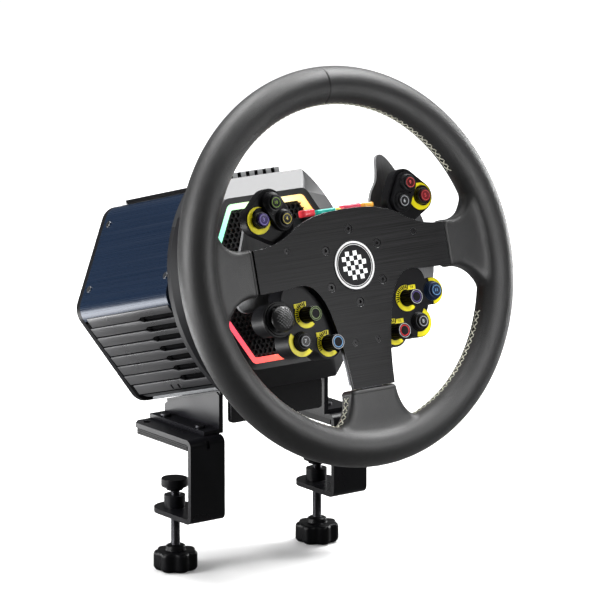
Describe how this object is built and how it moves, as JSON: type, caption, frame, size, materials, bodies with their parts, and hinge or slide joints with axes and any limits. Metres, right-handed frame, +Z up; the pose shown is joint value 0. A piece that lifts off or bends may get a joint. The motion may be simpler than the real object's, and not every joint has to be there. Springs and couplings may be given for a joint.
{
  "type": "racing wheel",
  "caption": "Desk-clamped racing wheel: three-spoke leather rim with button pods and paddles on a tilted hexagonal direct-drive base, held by a bent-steel stand with screw clamps.",
  "frame": {"origin": "middle of the table's front top edge, level with the underside of the rubber pads and with the inner faces of the clamp legs", "axes": "+X to the driver's right, +Y away from the driver, +Z up"},
  "size_m": [0.32, 0.3293, 0.4234],
  "materials": {
    "leather": "smooth black perforation-free leather, soft sheen",
    "armature": "cast, dark",
    "faceplate": "black anodised, brushed across",
    "black_screws": "black oxide",
    "badge": "gloss disc with a plain ring",
    "pod_plastic": "fine moulded texture",
    "yellow_plate": "satin yellow with black tick marks",
    "lens": "clear coloured lenses",
    "circuit_board": "solder mask",
    "hub_metal": "black anodised, turned",
    "steel": "ground",
    "rotor_iron": "bare",
    "button_plastic": "satin caps with coloured rings",
    "stick_rubber": "knurled dome",
    "paddle_metal": "satin dark anodised",
    "housing": "cast, black",
    "shroud": "satin black",
    "light": "lit diffuser, colour changes round the ring",
    "mesh": "black honeycomb",
    "blue_panel": "dark blue anodised, brushed",
    "vent_panel": "dark grey satin",
    "cover_plastic": "fine moulded texture",
    "winding": "laminated core with enamelled windings",
    "stand_steel": "black powder coat",
    "pad_rubber": "ribbed",
    "knob_plastic": "moulded"
  },
  "bodies": {
    "base": {"motor_housing": "housing", "front_shroud": "shroud", "light_ring": "light", "mesh_grille": "mesh", "side_panel_left": "blue_panel", "side_panel_right": "blue_panel", "panel_screws": "black_screws", "vent_panel_left": "vent_panel", "vent_panel_right": "vent_panel", "top_cover": "cover_plastic", "rear_cover": "cover_plastic", "stator": "winding", "shaft_bearings": "steel", "main_board": "circuit_board", "stand_cradle": "stand_steel", "stand_bolts": "black_screws", "clamp_bracket_left": "stand_steel", "clamp_bracket_right": "stand_steel", "clamp_pads": "pad_rubber"},
    "wheel": {"rim_armature": "armature", "rim_wrap": "leather", "faceplate": "faceplate", "hub_bolts": "black_screws", "plate_screws": "black_screws", "badge": "badge", "pod_upper_left": "pod_plastic", "pod_upper_right": "pod_plastic", "pod_lower_left": "pod_plastic", "pod_lower_right": "pod_plastic", "pod_covers": "cover_plastic", "scale_plates": "yellow_plate", "light_lenses": "lens", "rear_case": "cover_plastic", "control_boards": "circuit_board", "wheel_hub": "hub_metal", "paddle_pins": "steel", "drive_shaft": "steel", "rotor": "rotor_iron"},
    "collar": {"quick_release_collar": "hub_metal"},
    "button_10": {"button_10": "button_plastic"},
    "button_3": {"button_3": "button_plastic"},
    "button_4": {"button_4": "button_plastic"},
    "button_9": {"button_9": "button_plastic"},
    "button_5": {"button_5": "button_plastic"},
    "button_6": {"button_6": "button_plastic"},
    "button_7": {"button_7": "button_plastic"},
    "button_11": {"button_11": "button_plastic"},
    "button_8": {"button_8": "button_plastic"},
    "encoder_green": {"encoder_green": "button_plastic"},
    "encoder_blue": {"encoder_blue": "button_plastic"},
    "encoder_purple": {"encoder_purple": "button_plastic"},
    "encoder_red": {"encoder_red": "button_plastic"},
    "gimbal": {"stick_gimbal": "steel"},
    "stick": {"thumb_stick": "stick_rubber"},
    "paddle_left": {"shift_paddle_left": "paddle_metal"},
    "paddle_right": {"shift_paddle_right": "paddle_metal"},
    "foot_left": {"clamp_foot_left": "knob_plastic"},
    "screw_left": {"clamp_screw_left": "knob_plastic"},
    "foot_right": {"clamp_foot_right": "knob_plastic"},
    "screw_right": {"clamp_screw_right": "knob_plastic"}
  },
  "joints": [
    {"name": "steering", "type": "hinge", "parent": "base", "child": "wheel", "pos_m": [0, -0.097, 0.159], "axis": [0, 0.9613, -0.2756], "range_deg": [-540, 540]},
    {"name": "quick_release", "type": "hinge", "parent": "wheel", "child": "collar", "pos_m": [0, -0.06047, 0.14853], "axis": [0, 0.9613, -0.2756], "range_deg": [0, 36]},
    {"name": "press_10", "type": "slide", "parent": "wheel", "child": "button_10", "axis": [0, 0.9613, -0.2756], "range_m": [0, 0.0015], "stiffness_N_per_m": 300, "springref_m": -0.003},
    {"name": "press_3", "type": "slide", "parent": "wheel", "child": "button_3", "axis": [0, 0.9613, -0.2756], "range_m": [0, 0.0015], "stiffness_N_per_m": 300, "springref_m": -0.003},
    {"name": "press_4", "type": "slide", "parent": "wheel", "child": "button_4", "axis": [0, 0.9613, -0.2756], "range_m": [0, 0.0015], "stiffness_N_per_m": 300, "springref_m": -0.003},
    {"name": "press_9", "type": "slide", "parent": "wheel", "child": "button_9", "axis": [0, 0.9613, -0.2756], "range_m": [0, 0.0015], "stiffness_N_per_m": 300, "springref_m": -0.003},
    {"name": "press_5", "type": "slide", "parent": "wheel", "child": "button_5", "axis": [0, 0.9613, -0.2756], "range_m": [0, 0.0015], "stiffness_N_per_m": 300, "springref_m": -0.003},
    {"name": "press_6", "type": "slide", "parent": "wheel", "child": "button_6", "axis": [0, 0.9613, -0.2756], "range_m": [0, 0.0015], "stiffness_N_per_m": 300, "springref_m": -0.003},
    {"name": "press_7", "type": "slide", "parent": "wheel", "child": "button_7", "axis": [0, 0.9613, -0.2756], "range_m": [0, 0.0015], "stiffness_N_per_m": 300, "springref_m": -0.003},
    {"name": "press_11", "type": "slide", "parent": "wheel", "child": "button_11", "axis": [0, 0.9613, -0.2756], "range_m": [0, 0.0015], "stiffness_N_per_m": 300, "springref_m": -0.003},
    {"name": "press_8", "type": "slide", "parent": "wheel", "child": "button_8", "axis": [0, 0.9613, -0.2756], "range_m": [0, 0.0015], "stiffness_N_per_m": 300, "springref_m": -0.003},
    {"name": "turn_green", "type": "hinge", "parent": "wheel", "child": "encoder_green", "pos_m": [-0.05, -0.10596, 0.12776], "axis": [0, 0.9613, -0.2756], "continuous": true},
    {"name": "turn_blue", "type": "hinge", "parent": "wheel", "child": "encoder_blue", "pos_m": [-0.033, -0.11285, 0.10373], "axis": [0, 0.9613, -0.2756], "continuous": true},
    {"name": "turn_purple", "type": "hinge", "parent": "wheel", "child": "encoder_purple", "pos_m": [0.05, -0.10596, 0.12776], "axis": [0, 0.9613, -0.2756], "continuous": true},
    {"name": "turn_red", "type": "hinge", "parent": "wheel", "child": "encoder_red", "pos_m": [0.033, -0.11285, 0.10373], "axis": [0, 0.9613, -0.2756], "continuous": true},
    {"name": "stick_up_down", "type": "hinge", "parent": "wheel", "child": "gimbal", "pos_m": [-0.0765, -0.10211, 0.12666], "axis": [1, 0, 0], "range_deg": [-14, 14], "stiffness_Nm_per_rad": 0.05},
    {"name": "stick_left_right", "type": "hinge", "parent": "gimbal", "child": "stick", "pos_m": [-0.0765, -0.10211, 0.12666], "axis": [0, 0.2756, 0.9613], "range_deg": [-14, 14], "stiffness_Nm_per_rad": 0.05},
    {"name": "shift_left", "type": "hinge", "parent": "wheel", "child": "paddle_left", "pos_m": [-0.04, -0.07297, 0.15211], "axis": [0, 0.2756, 0.9613], "range_deg": [0, 4.5], "stiffness_Nm_per_rad": 2, "springref_deg": -10.03},
    {"name": "shift_right", "type": "hinge", "parent": "wheel", "child": "paddle_right", "pos_m": [0.04, -0.07297, 0.15211], "axis": [0, -0.2756, -0.9613], "range_deg": [0, 4.5], "stiffness_Nm_per_rad": 2, "springref_deg": -10.03},
    {"name": "foot_travel_left", "type": "slide", "parent": "base", "child": "foot_left", "axis": [0, 0, 1], "range_m": [-0.003, 0.018]},
    {"name": "screw_turn_left", "type": "hinge", "parent": "foot_left", "child": "screw_left", "pos_m": [-0.072, 0.043, -0.06], "axis": [0, 0, 1], "range_deg": [-870, 5190]},
    {"name": "foot_travel_right", "type": "slide", "parent": "base", "child": "foot_right", "axis": [0, 0, 1], "range_m": [-0.003, 0.018]},
    {"name": "screw_turn_right", "type": "hinge", "parent": "foot_right", "child": "screw_right", "pos_m": [0.072, 0.043, -0.06], "axis": [0, 0, 1], "range_deg": [-870, 5190]}
  ],
  "couplings": [
    {"joint": "screw_turn_left", "follows": "foot_travel_left", "rad_per_m": 5026.5},
    {"joint": "screw_turn_right", "follows": "foot_travel_right", "rad_per_m": 5026.5}
  ]
}
